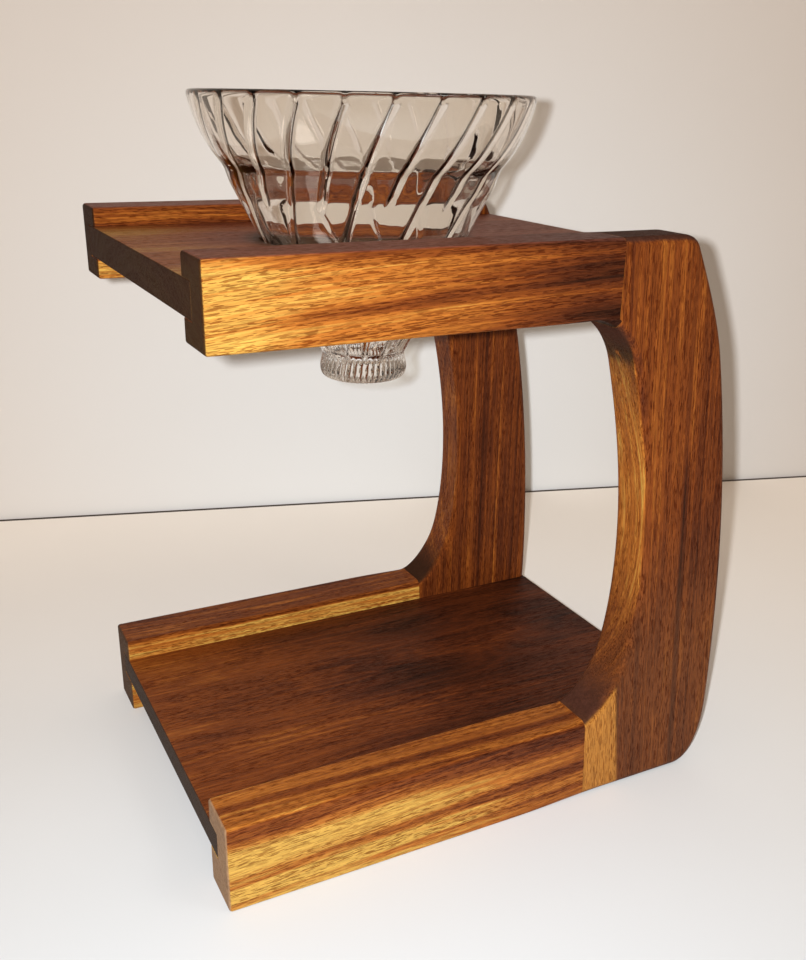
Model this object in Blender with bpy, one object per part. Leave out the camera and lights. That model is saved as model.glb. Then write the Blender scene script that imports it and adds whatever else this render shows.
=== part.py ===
"""A pour over coffee dripper: a ribbed glass cone that lifts out of a C-shaped walnut stand.

Each side frame is a top rail, an upright and a base rail, butted, dowelled and shaped to one curve.
A bored shelf and a base board sit in dados ploughed along the inner faces of both frames.
Metres, +Z up, +X to the user's right, the open front towards -Y. The origin lies on the table,
under the centre of the object's bounding box.
"""

import math

import bmesh
import bpy
from mathutils import Matrix, Vector
from mathutils.geometry import interpolate_bezier

# Clearances
GAP = 0.0003  # glue line or running gap between two pieces
EASE = 0.0005  # spare depth at the ends of a dowel's hole
CUTTER_REACH = 0.0100  # how far a cutter runs on past the wood

# Side frames. Depths run back from the front ends of the top rails.
STAND_WIDTH = 0.1562
FRAME_THICKNESS = 0.01905
STAND_HEIGHT = 0.2135
TOP_RAIL_HEIGHT = 0.0260
BASE_RAIL_HEIGHT = 0.0336
BASE_RAIL_FRONT = -0.0024
FRAME_REAR = 0.2004
SQUARE_CORNER_RADIUS = 0.0015
RAIL_EDGE_RADIUS = 0.0010
CURVE_EDGE_RADIUS = 0.0030
EDGE_BLEND_START = 0.110
EDGE_BLEND_END = 0.150
EDGE_BLEND_STEPS = 4
EDGE_STEPS = 2
BACK_STEPS = (4, 4, 7, 5)
THROAT_STEPS = (4, 4, 6, 4)
CORNER_STEPS = 3

# Glued joints: (depth, height) of the middle of each joint, and how far it leans back at its foot
TOP_JOINT = (0.1379, 0.2005)
BASE_JOINT = (0.1396, 0.0177)
BASE_JOINT_LEAN = math.radians(3.0)
SAW_CLEARANCE = 0.0004  # points of the outline nearer than this to a saw cut are dropped

# Boards in their dados
DADO_DEPTH = 0.0090
SHELF_TOP = 0.2064
SHELF_THICKNESS = 0.0114
BOARD_TOP = 0.0247
BOARD_THICKNESS = 0.0102
BOARD_EDGE_RADIUS = 0.0006

# Dowels, four to a side frame, in the full web outside the dados
DOWEL_RADIUS = 0.0030
DOWEL_LENGTH = 0.0300
DOWEL_CHAMFER = 0.0006
DOWEL_SEGMENTS = 16
DOWEL_FROM_OUTSIDE = 0.0050
TOP_DOWEL_HEIGHTS = {"lower": 0.1950, "upper": 0.2060}
BASE_DOWEL_HEIGHTS = {"lower": 0.0092, "upper": 0.0238}

# Glass cone. Heights are above the table, with the cone seated in the shelf.
CONE_DEPTH = 0.0820
CONE_HALF_ANGLE = math.radians(27.5)
SEAT_RADIUS = 0.0362  # outside of the glass level with the shelf's top
SEAT_CHAMFER = 0.0018
RIM_TOP = 0.2547
RIM_RADIUS = 0.0590
LIP_DROP = 0.0012
LIP_HANDLE = (0.0572, 0.2440)
SHOULDER = (0.0480, 0.2312)  # where the plain cone meets the fuller bowl
SHOULDER_HANDLE = (0.0525, 0.2350)
CONE_TOP = 0.2240
BOWL_STEPS = 4
NECK_HEIGHT = 0.1662
COLLAR_RADIUS = 0.0160
COLLAR_HEIGHT = 0.1605
COLLAR_ROUND = (0.0006, 0.0010)
OUTLET_BOTTOM = 0.1568
OUTLET_LIP_RADIUS = 0.0132
OUTLET_RADIUS = 0.0090
CONE_WALL = 0.0042
RIM_WALL = 0.0032
RIB_COUNT = 24
RIB_DEPTH = 0.0012
SHORT_RIB_END = 0.2210
RIB_TWIST_PER_METRE = math.radians(440.0)
RIB_START = math.radians(-35.0)  # a long rib's place about the axis, level with the shelf's top
VERTS_PER_RIB = 3

DEPTH_TO_Y = -(BASE_RAIL_FRONT + FRAME_REAR) / 2  # centres the depth on Y = 0
FRAME_X = (STAND_WIDTH - FRAME_THICKNESS) / 2
INNER_FACE_X = STAND_WIDTH / 2 - FRAME_THICKNESS
SIDES = {"right": 1, "left": -1}


# ---------------------------------------------------------------- scene and materials


def clear_scene():
    for obj in list(bpy.data.objects):
        bpy.data.objects.remove(obj, do_unlink=True)


def make_material(name, color, roughness, metallic=0.0, transmission=0.0, alpha=1.0):
    material = bpy.data.materials.new(name)
    material.use_nodes = True
    shader = material.node_tree.nodes["Principled BSDF"]
    shader.inputs["Base Color"].default_value = (*color, 1.0)
    shader.inputs["Roughness"].default_value = roughness
    shader.inputs["Metallic"].default_value = metallic
    shader.inputs["Transmission Weight"].default_value = transmission
    shader.inputs["Alpha"].default_value = alpha
    material.diffuse_color = (*color, alpha)
    return material


def make_empty(name, location):
    empty = bpy.data.objects.new(name, None)
    empty.empty_display_size = 0.02
    empty.location = location
    bpy.context.scene.collection.objects.link(empty)
    return empty


def make_object(name, bm, location, parent=None, material=None, smooth_angle=30.0):
    """Turns a bmesh into a named object, set at a place in the world and kept under its parent."""
    bmesh.ops.recalc_face_normals(bm, faces=bm.faces)
    mesh = bpy.data.meshes.new(name)
    bm.to_mesh(mesh)
    bm.free()
    mesh.shade_smooth()
    mesh.set_sharp_from_angle(angle=math.radians(smooth_angle))
    if material:
        mesh.materials.append(material)
    obj = bpy.data.objects.new(name, mesh)
    bpy.context.scene.collection.objects.link(obj)
    obj.location = Vector(location)
    if parent:
        obj.parent = parent
        obj.matrix_parent_inverse = Matrix.Translation(-parent.location)
    return obj


def make_cutter(name, bm, location):
    cutter = make_object(name, bm, location)
    cutter.hide_render = True
    cutter.display_type = "WIRE"
    return cutter


def cut(obj, cutter):
    """Subtracts a cutter. EXACT loses faces where a flat tool runs along many-sided rounded edges."""
    modifier = obj.modifiers.new(cutter.name, "BOOLEAN")
    modifier.operation = "DIFFERENCE"
    modifier.solver = "MANIFOLD"
    modifier.object = cutter


# ---------------------------------------------------------------- shapes


def bezier_chain(segments, steps):
    """Points along Bezier segments that join end to end, each with its own number of steps."""
    points = []
    for segment, count in zip(segments, steps):
        knots = [Vector((*point, 0.0)) for point in segment]
        run = interpolate_bezier(*knots, count + 1)
        points += [(point.x, point.y) for point in run[:-1]]
    points.append(segments[-1][-1])
    return points


def rounded_corner(before, corner, after, radius, steps):
    """Points of an arc that rounds a square corner between two straight edges."""
    corner = Vector(corner)
    to_before = (Vector(before) - corner).normalized()
    to_after = (Vector(after) - corner).normalized()
    centre = corner + (to_before + to_after) * radius
    points = []
    for step in range(steps + 1):
        turn = math.pi / 2 * step / steps
        point = centre - to_after * radius * math.cos(turn) - to_before * radius * math.sin(turn)
        points.append(tuple(point))
    return points


def back_edge():
    """The long leaning back of a side frame, from the flat of the top to the flat of the foot."""
    top, foot = STAND_HEIGHT, 0.0
    return bezier_chain(
        [
            ((0.1615, top), (0.1660, top), (0.1684, 0.2125), (0.1700, 0.2095)),
            ((0.1700, 0.2095), (0.1745, 0.2000), (0.1815, 0.1860), (0.1850, 0.1720)),
            ((0.1850, 0.1720), (0.1963, 0.1243), (FRAME_REAR, 0.0767), (FRAME_REAR, 0.0290)),
            ((FRAME_REAR, 0.0290), (FRAME_REAR, 0.0110), (0.1950, foot), (0.1860, foot)),
        ],
        BACK_STEPS,
    )


def throat_edge():
    """The hollow inner edge of a side frame, from the base rail up to the top rail."""
    under, floor = STAND_HEIGHT - TOP_RAIL_HEIGHT, BASE_RAIL_HEIGHT
    return bezier_chain(
        [
            ((0.1365, floor), (0.1425, floor), (0.1500, 0.0435), (0.1530, 0.0500)),
            ((0.1530, 0.0500), (0.1568, 0.0582), (0.1592, 0.0760), (0.1592, 0.0940)),
            ((0.1592, 0.0940), (0.1592, 0.1230), (0.1537, 0.1480), (0.1478, 0.1700)),
            ((0.1478, 0.1700), (0.1450, 0.1800), (0.1370, under), (0.1290, under)),
        ],
        THROAT_STEPS,
    )


def frame_outline():
    """The whole side frame as one clockwise outline of (depth, height) points."""
    under = STAND_HEIGHT - TOP_RAIL_HEIGHT
    back, throat = back_edge(), throat_edge()
    rail_top, rail_under = (0.0, STAND_HEIGHT), (0.0, under)
    foot, floor = (BASE_RAIL_FRONT, 0.0), (BASE_RAIL_FRONT, BASE_RAIL_HEIGHT)
    corner = (SQUARE_CORNER_RADIUS, CORNER_STEPS)
    return with_blend_stations(
        [
            *rounded_corner(rail_under, rail_top, back[0], *corner),
            *back,
            *rounded_corner(back[-1], foot, floor, *corner),
            *rounded_corner(foot, floor, throat[0], *corner),
            *throat,
            *rounded_corner(throat[-1], rail_under, rail_top, *corner),
        ]
    )


def with_blend_stations(outline):
    """Adds points to the level edges where their rounding changes from a rail's to the curve's."""
    span = EDGE_BLEND_END - EDGE_BLEND_START
    steps = range(EDGE_BLEND_STEPS + 1)
    stations = [EDGE_BLEND_START + span * step / EDGE_BLEND_STEPS for step in steps]
    points = []
    for start, end in zip(outline, outline[1:] + outline[:1]):
        points.append(start)
        if start[1] != end[1]:
            continue
        low, high = sorted((start[0], end[0]))
        between = [depth for depth in stations if low < depth < high]
        points += [(depth, start[1]) for depth in sorted(between, reverse=end[0] < start[0])]
    return points


def edge_radius(depth):
    """Rails have lightly eased edges, and the curved part a fuller round."""
    along = (depth - EDGE_BLEND_START) / (EDGE_BLEND_END - EDGE_BLEND_START)
    along = min(max(along, 0.0), 1.0)
    blend = along * along * (3.0 - 2.0 * along)
    return RAIL_EDGE_RADIUS + (CURVE_EDGE_RADIUS - RAIL_EDGE_RADIUS) * blend


def saw(outline, point, normal):
    """Cuts a closed outline along a line and drops the normal's side of it.

    An outline's entries are (point, sawn), where sawn says that the edge after it is a saw cut.
    Points almost on the line are dropped too, so that the cut leaves no sliver.
    """
    kept = []
    for (start, sawn), (end, _) in zip(outline, outline[1:] + outline[:1]):
        before, after = (start - point).dot(normal), (end - point).dot(normal)
        if before <= -SAW_CLEARANCE:
            kept.append((start, sawn))
        if before * after < 0:
            kept.append((start.lerp(end, before / (before - after)), before < 0 or sawn))
    return kept


def inward_offsets(outline):
    """At each point, the step inwards that keeps the edges parallel, or that follows a saw cut."""
    offsets = []
    for index, (point, leaves_sawn) in enumerate(outline):
        before, enters_sawn = outline[index - 1]
        after = outline[(index + 1) % len(outline)][0]
        entering, leaving = (point - before).normalized(), (after - point).normalized()
        if leaves_sawn:
            offsets.append(leaving / leaving.dot(right_of(entering)))
        elif enters_sawn:
            offsets.append(entering / entering.dot(right_of(leaving)))
        else:
            mitre = (right_of(entering) + right_of(leaving)).normalized()
            offsets.append(mitre / mitre.dot(right_of(leaving)))
    return offsets


def right_of(direction):
    return Vector((direction.y, -direction.x))


def rounded_slab(outline, thickness, radius_at, steps):
    """A slab across X with this side outline and rounded edges, its middle at X = 0."""
    offsets = inward_offsets(outline)
    half = thickness / 2
    levels = [(-1, math.pi / 2 * (steps - step) / steps) for step in range(steps + 1)]
    levels += [(1, math.pi / 2 * step / steps) for step in range(steps + 1)]
    bm = bmesh.new()
    rings = []
    for side, turn in levels:
        ring = []
        for (point, _), offset in zip(outline, offsets):
            radius = radius_at(point.x)
            place = point + offset * radius * (1.0 - math.cos(turn))
            across = side * (half - radius * (1.0 - math.sin(turn)))
            ring.append(bm.verts.new((across, place.x, place.y)))
        rings.append(ring)
    for ring, following in zip(rings, rings[1:]):
        join_rings(bm, ring, following)
    bm.faces.new(rings[0])
    bm.faces.new(rings[-1])
    bm.normal_update()
    bmesh.ops.triangulate(bm, faces=bm.faces)
    return bm


def join_rings(bm, ring, following):
    for index in range(len(ring)):
        after = (index + 1) % len(ring)
        bm.faces.new((ring[index], ring[after], following[after], following[index]))


def box(lowest, highest):
    bm = bmesh.new()
    size = Vector(highest) - Vector(lowest)
    middle = (Vector(highest) + Vector(lowest)) / 2
    shape = Matrix.Translation(middle) @ Matrix.Diagonal((*size, 1.0))
    bmesh.ops.create_cube(bm, size=1.0, matrix=shape)
    return bm


def merge_into(bm, other):
    """Adds another bmesh's shape to this one."""
    mesh = bpy.data.meshes.new("merged")
    other.to_mesh(mesh)
    other.free()
    bm.from_mesh(mesh)
    bpy.data.meshes.remove(mesh)


def turned(profile, segments):
    """A solid of revolution about Z, from (radius, height) points that run from bottom to top."""
    bm = bmesh.new()
    turns = [math.tau * index / segments for index in range(segments)]
    rings = []
    for radius, height in profile:
        places = [(radius * math.cos(turn), radius * math.sin(turn), height) for turn in turns]
        rings.append([bm.verts.new(place) for place in places])
    for ring, following in zip(rings, rings[1:]):
        join_rings(bm, ring, following)
    bm.faces.new(rings[0])
    bm.faces.new(rings[-1])
    return bm


# ---------------------------------------------------------------- side frames


def saw_line(joint, lean, kept):
    """The saw cut on one side of a glued joint: kept is -1 for the piece in front and 1 behind."""
    normal = Vector((math.cos(lean), math.sin(lean))) * -kept
    return Vector(joint) - normal * GAP / 2, normal


def sawn_piece(*lines):
    """What is left of the side frame after sawing its outline along each line."""
    outline = [(Vector(point), False) for point in frame_outline()]
    for line in lines:
        outline = saw(outline, *line)
    bm = rounded_slab(outline, FRAME_THICKNESS, edge_radius, EDGE_STEPS)
    bmesh.ops.translate(bm, verts=bm.verts, vec=(0.0, DEPTH_TO_Y, 0.0))
    return bm


def top_rail_shape():
    halfway = (Vector((0.0, STAND_HEIGHT / 2)), Vector((0.0, -1.0)))
    return sawn_piece(halfway, saw_line(TOP_JOINT, 0.0, -1))


def base_rail_shape():
    halfway = (Vector((0.0, STAND_HEIGHT / 2)), Vector((0.0, 1.0)))
    return sawn_piece(halfway, saw_line(BASE_JOINT, BASE_JOINT_LEAN, -1))


def upright_shape():
    return sawn_piece(saw_line(TOP_JOINT, 0.0, 1), saw_line(BASE_JOINT, BASE_JOINT_LEAN, 1))


def dado_cutter():
    """Both dados of the right side frame, open at the front and at the back."""
    nearest, deepest = INNER_FACE_X - DADO_DEPTH, INNER_FACE_X + DADO_DEPTH
    front, back = BASE_RAIL_FRONT - CUTTER_REACH, FRAME_REAR + CUTTER_REACH
    bm = bmesh.new()
    for top, thickness in ((SHELF_TOP, SHELF_THICKNESS), (BOARD_TOP, BOARD_THICKNESS)):
        lowest = (nearest, front + DEPTH_TO_Y, top - thickness - GAP)
        merge_into(bm, box(lowest, (deepest, back + DEPTH_TO_Y, top + GAP)))
    return make_cutter("dado_cutter", bm, (0.0, 0.0, 0.0))


def dowel_shape(radius, length, chamfer):
    """A dowel along Y, its middle at the origin."""
    half, tip = length / 2, radius - chamfer
    profile = [(tip, -half), (radius, chamfer - half), (radius, half - chamfer), (tip, half)]
    bm = turned(profile, DOWEL_SEGMENTS)
    quarter_turn = Matrix.Rotation(math.radians(90.0), 3, "X")
    bmesh.ops.rotate(bm, verts=bm.verts, cent=(0.0, 0.0, 0.0), matrix=quarter_turn)
    return bm


def dowel_places(side):
    """Name and middle of each dowel of one side frame. Base dowels follow their joint's lean."""
    across = side * (STAND_WIDTH / 2 - DOWEL_FROM_OUTSIDE)
    for level, height in TOP_DOWEL_HEIGHTS.items():
        yield f"top_dowel_{level}", (across, TOP_JOINT[0] + DEPTH_TO_Y, height)
    for level, height in BASE_DOWEL_HEIGHTS.items():
        depth = BASE_JOINT[0] - (height - BASE_JOINT[1]) * math.tan(BASE_JOINT_LEAN)
        yield f"base_dowel_{level}", (across, depth + DEPTH_TO_Y, height)


def dowel_hole_cutter():
    bm = bmesh.new()
    for _, place in dowel_places(1):
        hole = dowel_shape(DOWEL_RADIUS + GAP, DOWEL_LENGTH + 2 * EASE, DOWEL_CHAMFER)
        bmesh.ops.translate(hole, verts=hole.verts, vec=place)
        merge_into(bm, hole)
    return make_cutter("dowel_hole_cutter", bm, (0.0, 0.0, 0.0))


def mirrored(name, source, parent, material):
    """The other side's piece: the finished source piece, reflected across X = 0."""
    finished = source.evaluated_get(bpy.context.evaluated_depsgraph_get())
    bm = bmesh.new()
    bm.from_mesh(finished.to_mesh())
    bmesh.ops.scale(bm, verts=bm.verts, vec=(-1.0, 1.0, 1.0))
    place = source.location * Vector((-1.0, 1.0, 1.0))
    make_object(name, bm, place, parent, material)


def build_side_frames(walnut, dowel_wood, parent):
    cutters = (dado_cutter(), dowel_hole_cutter())
    shapes = {"top_rail": top_rail_shape, "upright": upright_shape, "base_rail": base_rail_shape}
    for piece, shape in shapes.items():
        right = make_object(f"right_{piece}", shape(), (FRAME_X, 0.0, 0.0), parent, walnut)
        for cutter in cutters:
            cut(right, cutter)
        mirrored(f"left_{piece}", right, parent, walnut)
    for side_name, side in SIDES.items():
        for piece, place in dowel_places(side):
            dowel = dowel_shape(DOWEL_RADIUS, DOWEL_LENGTH, DOWEL_CHAMFER)
            make_object(f"{side_name}_{piece}", dowel, place, parent, dowel_wood)


# ---------------------------------------------------------------- boards


def back_depth(height):
    """How far back the frames' rear edge lies at a height, so that a board ends flush with it."""
    back = back_edge()
    for (depth, upper), (next_depth, lower) in zip(back, back[1:]):
        if lower <= height <= upper:
            return depth + (next_depth - depth) * (upper - height) / (upper - lower)
    return FRAME_REAR


def board_shape(front, top, thickness):
    """A board between the side frames, its rear edge sloped to their curve, its middle at X = 0."""
    bottom = top - thickness
    corners = [(front, top), (back_depth(top), top), (back_depth(bottom), bottom), (front, bottom)]
    reach = INNER_FACE_X + DADO_DEPTH - GAP
    bm = bmesh.new()
    rows = []
    for across in (-reach, reach):
        places = [(across, depth + DEPTH_TO_Y, height) for depth, height in corners]
        rows.append([bm.verts.new(place) for place in places])
    join_rings(bm, *rows)
    long_edges = [edge for edge in bm.edges if abs(edge.verts[0].co.x - edge.verts[1].co.x) > reach]
    for row in rows:
        bm.faces.new(row)
    bmesh.ops.recalc_face_normals(bm, faces=bm.faces)
    bmesh.ops.bevel(
        bm, geom=long_edges, offset=BOARD_EDGE_RADIUS, segments=2, profile=0.5, affect="EDGES"
    )
    return bm


def seat_cutter():
    """The shelf's bore, opened at its top to the angle of the glass that rests in it."""
    seat = SEAT_RADIUS + GAP / math.cos(CONE_HALF_ANGLE)
    slope = math.tan(CONE_HALF_ANGLE)
    bore = seat - slope * SEAT_CHAMFER
    profile = [
        (bore, -SHELF_THICKNESS - CUTTER_REACH),
        (bore, -SEAT_CHAMFER),
        (seat, 0.0),
        (seat + slope * CUTTER_REACH, CUTTER_REACH),
    ]
    shape = turned(profile, RIB_COUNT * VERTS_PER_RIB)
    return make_cutter("seat_cutter", shape, (0.0, CONE_DEPTH + DEPTH_TO_Y, SHELF_TOP))


def build_boards(walnut, parent):
    shelf = board_shape(0.0, SHELF_TOP, SHELF_THICKNESS)
    cut(make_object("top_shelf", shelf, (0.0, 0.0, 0.0), parent, walnut), seat_cutter())
    board = board_shape(BASE_RAIL_FRONT, BOARD_TOP, BOARD_THICKNESS)
    make_object("base_board", board, (0.0, 0.0, 0.0), parent, walnut)


# ---------------------------------------------------------------- glass cone


def cone_radius(height):
    """The outer radius of the plain lower cone, which is also the seat's."""
    return SEAT_RADIUS + (height - SHELF_TOP) * math.tan(CONE_HALF_ANGLE)


def bowl_profile():
    """The fuller upper bowl, an outward bow from the shoulder to just under the lip."""
    lip = (RIM_RADIUS, RIM_TOP - LIP_DROP)
    return bezier_chain([(SHOULDER, SHOULDER_HANDLE, LIP_HANDLE, lip)], [BOWL_STEPS])


def outer_profile():
    """(radius, height) from the bottom of the outlet up the outside to the lip."""
    inset, rise = COLLAR_ROUND
    collar = [
        (OUTLET_LIP_RADIUS, OUTLET_BOTTOM),
        (COLLAR_RADIUS - inset, OUTLET_BOTTOM + rise),
        (COLLAR_RADIUS, COLLAR_HEIGHT),
    ]
    heights = (NECK_HEIGHT, (NECK_HEIGHT + SHELF_TOP) / 2, SHELF_TOP, CONE_TOP)
    return [*collar, *((cone_radius(height), height) for height in heights), *bowl_profile()]


def inner_profile():
    """(radius, height) from the lip down the inside and the outlet's bore."""
    bowl = [(radius - RIM_WALL, height) for radius, height in reversed(bowl_profile()[1:])]
    wall = CONE_WALL / math.cos(CONE_HALF_ANGLE)
    heights = (CONE_TOP, SHORT_RIB_END, SHELF_TOP, (NECK_HEIGHT + SHELF_TOP) / 2, NECK_HEIGHT)
    cone = [(cone_radius(height) - wall, height) for height in heights]
    shoulder = (SHOULDER[0] - CONE_WALL, SHOULDER[1])
    bore = [(OUTLET_RADIUS, COLLAR_HEIGHT), (OUTLET_RADIUS, OUTLET_BOTTOM + COLLAR_ROUND[1] / 2)]
    return [*bowl, shoulder, *cone, *bore]


def rib_depth(index, height):
    """How far a rib stands in from the inner wall. Every other rib stops part way down."""
    is_rib = index % VERTS_PER_RIB == 0
    is_short = index % (2 * VERTS_PER_RIB) != 0
    if not is_rib or (is_short and height <= SHORT_RIB_END) or height <= NECK_HEIGHT:
        return 0.0
    return RIB_DEPTH


def glass_ring(bm, radius, height, ribbed):
    columns = RIB_COUNT * VERTS_PER_RIB
    twist = RIB_START + (height - SHELF_TOP) * RIB_TWIST_PER_METRE
    ring = []
    for index in range(columns):
        angle = math.tau * index / columns + twist
        reach = radius - (rib_depth(index, height) if ribbed else 0.0)
        ring.append(bm.verts.new((reach * math.cos(angle), reach * math.sin(angle), height - SHELF_TOP)))
    return ring


def build_glass_cone(glass, parent):
    """A shell open at the rim and at the outlet, with spiral ribs inside. Its origin is on its axis."""
    lip = (RIM_RADIUS - RIM_WALL / 2, RIM_TOP)
    bm = bmesh.new()
    rings = [glass_ring(bm, *point, ribbed=False) for point in [*outer_profile(), lip]]
    rings += [glass_ring(bm, *point, ribbed=True) for point in inner_profile()]
    for ring, following in zip(rings, rings[1:] + rings[:1]):
        join_rings(bm, ring, following)
    place = (0.0, CONE_DEPTH + DEPTH_TO_Y, SHELF_TOP)
    make_object("glass_cone", bm, place, parent, glass, smooth_angle=40.0)


def main():
    clear_scene()
    walnut = make_material("walnut", (0.22, 0.105, 0.045), 0.45)
    dowel_wood = make_material("dowel_wood", (0.62, 0.45, 0.27), 0.6)
    glass = make_material("glass", (0.95, 0.96, 0.95), 0.03, transmission=1.0, alpha=0.35)
    stand = make_empty("stand", (0.0, 0.0, 0.0))
    lift_axis = make_empty("dripper_lift_axis", (0.0, CONE_DEPTH + DEPTH_TO_Y, SHELF_TOP))
    build_side_frames(walnut, dowel_wood, stand)
    build_boards(walnut, stand)
    build_glass_cone(glass, lift_axis)


main()
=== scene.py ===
"""The pour over dripper's finished look: walnut with its own grain in every piece, and clear ribbed glass.

Metres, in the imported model's frame: +Z up, the open front towards -Y. Shader lengths are in millimetres.
"""

import math

import bmesh
import bpy
from mathutils import Matrix, Vector
from mathutils.geometry import interpolate_bezier


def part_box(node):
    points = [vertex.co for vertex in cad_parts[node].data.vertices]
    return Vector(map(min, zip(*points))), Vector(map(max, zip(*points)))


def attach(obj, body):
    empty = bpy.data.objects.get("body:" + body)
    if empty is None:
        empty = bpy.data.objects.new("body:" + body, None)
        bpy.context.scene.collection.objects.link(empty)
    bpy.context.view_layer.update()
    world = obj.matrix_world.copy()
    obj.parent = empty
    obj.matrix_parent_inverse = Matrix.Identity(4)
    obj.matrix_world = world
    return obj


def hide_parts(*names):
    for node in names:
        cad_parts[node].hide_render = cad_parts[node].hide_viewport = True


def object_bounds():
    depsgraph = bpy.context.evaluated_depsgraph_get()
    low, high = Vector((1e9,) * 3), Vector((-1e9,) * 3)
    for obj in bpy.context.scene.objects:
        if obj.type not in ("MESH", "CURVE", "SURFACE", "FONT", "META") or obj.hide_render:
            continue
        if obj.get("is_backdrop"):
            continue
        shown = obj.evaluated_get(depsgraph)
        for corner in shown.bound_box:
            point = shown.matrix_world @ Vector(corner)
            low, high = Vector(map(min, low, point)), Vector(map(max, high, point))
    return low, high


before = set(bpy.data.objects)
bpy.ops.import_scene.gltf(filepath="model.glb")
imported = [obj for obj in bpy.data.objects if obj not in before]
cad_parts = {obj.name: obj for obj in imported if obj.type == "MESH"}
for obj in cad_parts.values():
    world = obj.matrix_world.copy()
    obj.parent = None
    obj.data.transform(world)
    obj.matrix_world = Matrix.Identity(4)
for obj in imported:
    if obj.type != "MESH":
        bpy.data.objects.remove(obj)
cad_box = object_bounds()

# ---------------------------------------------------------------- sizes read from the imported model

TOP_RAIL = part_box("right_top_rail")
BASE_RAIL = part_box("right_base_rail")
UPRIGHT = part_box("right_upright")
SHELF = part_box("top_shelf")
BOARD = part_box("base_board")
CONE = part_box("glass_cone")

DEPTH_TO_Y = TOP_RAIL[0].y  # depths run back from the front ends of the top rails
THICKNESS = TOP_RAIL[1].x - TOP_RAIL[0].x
INNER_X = TOP_RAIL[0].x
MIDDLE_X = (TOP_RAIL[0].x + TOP_RAIL[1].x) / 2
TOP = TOP_RAIL[1].z
BASE_FRONT = BASE_RAIL[0].y - DEPTH_TO_Y
REAR = UPRIGHT[1].y - DEPTH_TO_Y
SHELF_TOP, SHELF_UNDER = SHELF[1].z, SHELF[0].z
BOARD_TOP, BOARD_UNDER = BOARD[1].z, BOARD[0].z
BOARD_REACH = BOARD[1].x
CONE_CENTRE = (CONE[0] + CONE[1]) / 2
RIM_RADIUS = (CONE[1].x - CONE[0].x) / 2
RIM_TOP, OUTLET_BOTTOM = CONE[1].z, CONE[0].z

# ---------------------------------------------------------------- sizes of the wood's outlines and joints

TOP_RAIL_HEIGHT, BASE_RAIL_HEIGHT = 0.0260, 0.0336  # along their straight stretches
UNDER, FLOOR = TOP - TOP_RAIL_HEIGHT, BASE_RAIL_HEIGHT  # the level edges that the throat runs into
BACK_STEPS, THROAT_STEPS, FINE_STEPS = 16, 14, 48  # to each curve of the outline
CORNER_ROUND = 0.0012  # the outline's square corners
RAIL_ROUND, CURVE_ROUND = 0.0010, 0.0031  # the edges of the faces, on the rails and on the curves
ROUND_FROM, ROUND_TO = 0.110, 0.150  # the depths between which one grows to the other
ROUND_STEPS = 6  # to a rounded quarter turn
STATIONS = 12  # steps in that growth
SLIVER = 0.0002  # a point closer to a saw cut than this is dropped
TOP_JOINT = (0.1379, 0.2005)  # depth and height of a place on each saw cut
BASE_JOINT = (0.1396, 0.0177)
BASE_LEAN = math.radians(3.0)
SEAM = 0.00004  # half the hairline left at a glued joint
DADO_SEAM = 0.00006
OVERCUT = 0.009  # how far a dado's cutter passes the wood
BOARD_ROUND = 0.0006
SHARP_ANGLE = 35.0  # degrees

SEAT_RADIUS = 0.0362  # the glass's radius where it passes the shelf's top
CONE_ANGLE = math.radians(27.5)
CONE_SLOPE = math.tan(CONE_ANGLE)
SEAT_GAP = 0.0003  # between the glass and the sloped seat
SEAT_DEPTH = 0.0018
BORE_EASE = 0.0006

SIDES = {"right": 1, "left": -1}
UP, FORWARD = (0.0, 0.0, 1.0), (0.0, -1.0, 0.0)


# ---------------------------------------------------------------- outlines of the side frames


def climb(value, start, length):
    """0 up to start, 1 from start + length on, and straight between."""
    return min(max((value - start) / length, 0.0), 1.0)


def bezier_chain(segments, steps):
    points = []
    for segment in segments:
        run = interpolate_bezier(*(Vector((*point, 0.0)) for point in segment), steps + 1)
        points += [(point.x, point.y) for point in run[:-1]]
    return [*points, segments[-1][-1]]


def quarter_turn():
    """The angles that a rounded edge or corner steps through."""
    return [math.pi / 2 * step / ROUND_STEPS for step in range(ROUND_STEPS + 1)]


def corner_arc(before, corner, after, radius=CORNER_ROUND):
    """A square corner rounded off, between the points that lie before it and after it."""
    corner = Vector(corner)
    back, forth = (Vector(before) - corner).normalized(), (Vector(after) - corner).normalized()
    centre = corner + (back + forth) * radius
    turns = quarter_turn()
    return [tuple(centre - forth * radius * math.cos(t) - back * radius * math.sin(t)) for t in turns]


def back_edge(steps=BACK_STEPS):
    """Down the back, from the level top to the foot. Each curve is its start, two handles and its end."""
    return bezier_chain(
        [
            ((0.1615, TOP), (0.1660, TOP), (0.1684, 0.2125), (0.1700, 0.2095)),
            ((0.1700, 0.2095), (0.1745, 0.2000), (0.1815, 0.1860), (0.1850, 0.1720)),
            ((0.1850, 0.1720), (0.1963, 0.1243), (REAR, 0.0767), (REAR, 0.0290)),
            ((REAR, 0.0290), (REAR, 0.0110), (0.1950, 0.0), (0.1860, 0.0)),
        ],
        steps,
    )


def throat_edge():
    """Up the throat, from the base rail to the top rail."""
    return bezier_chain(
        [
            ((0.1365, FLOOR), (0.1425, FLOOR), (0.1500, 0.0435), (0.1530, 0.0500)),
            ((0.1530, 0.0500), (0.1568, 0.0582), (0.1592, 0.0760), (0.1592, 0.0940)),
            ((0.1592, 0.0940), (0.1592, 0.1230), (0.1537, 0.1480), (0.1478, 0.1700)),
            ((0.1478, 0.1700), (0.1450, 0.1800), (0.1370, UNDER), (0.1290, UNDER)),
        ],
        THROAT_STEPS,
    )


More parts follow.
